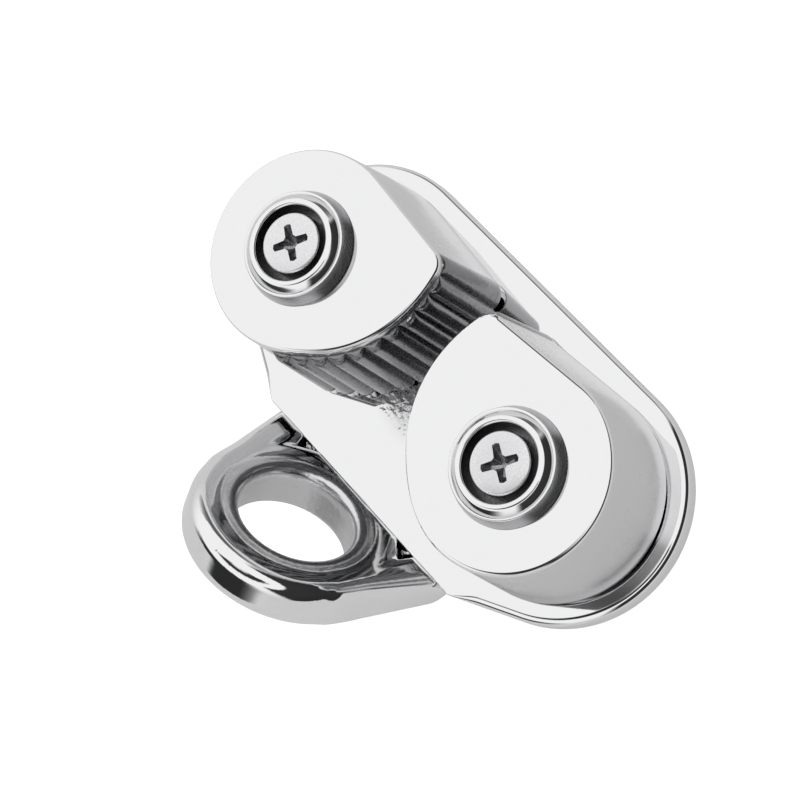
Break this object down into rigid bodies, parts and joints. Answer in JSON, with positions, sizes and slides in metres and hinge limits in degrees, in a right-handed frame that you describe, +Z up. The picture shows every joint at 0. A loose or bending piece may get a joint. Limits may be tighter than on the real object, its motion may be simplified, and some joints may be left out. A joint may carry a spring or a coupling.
{
  "type": "cam cleat",
  "caption": "Double cam cleat with an integral leading ring: mirrored sprung toothed cams on a polished cast base, closing on a line to hold it.",
  "frame": {"origin": "middle of the base casting's flat underside, halfway between the two cam pivots", "axes": "+X from the left pivot to the right one, +Y away from the leading ring, +Z up out of the deck along the pivots"},
  "size_m": [0.0684, 0.0492, 0.0328],
  "materials": {
    "cast_base": "mirror polished cast stainless steel",
    "cast_cam": "mirror polished top and sides, as-cast ridges",
    "bearing": "off-white acetal",
    "spring_wire": "drawn stainless wire",
    "turned_steel": "turned side, polished rim",
    "screw_steel": "satin stainless steel"
  },
  "bodies": {
    "base": {"base_casting": "cast_base", "left_pivot": "turned_steel", "right_pivot": "turned_steel", "left_screw": "screw_steel", "right_screw": "screw_steel", "left_lower_washer": "bearing", "right_lower_washer": "bearing", "left_upper_washer": "bearing", "right_upper_washer": "bearing", "left_spring": "spring_wire", "right_spring": "spring_wire"},
    "left_jaw": {"left_cam": "cast_cam", "left_bush": "bearing"},
    "right_jaw": {"right_cam": "cast_cam", "right_bush": "bearing"}
  },
  "joints": [
    {"name": "left_cam_turn", "type": "hinge", "parent": "base", "child": "left_jaw", "pos_m": [-0.019, 0, 0.0115], "axis": [0, 0, 1], "range_deg": [0, 50], "stiffness_Nm_per_rad": 0.06, "springref_deg": -20.05, "deforming": ["left_spring"]},
    {"name": "right_cam_turn", "type": "hinge", "parent": "base", "child": "right_jaw", "pos_m": [0.019, 0, 0.0115], "axis": [0, 0, -1], "range_deg": [0, 50], "stiffness_Nm_per_rad": 0.06, "springref_deg": -20.05, "deforming": ["right_spring"]}
  ]
}
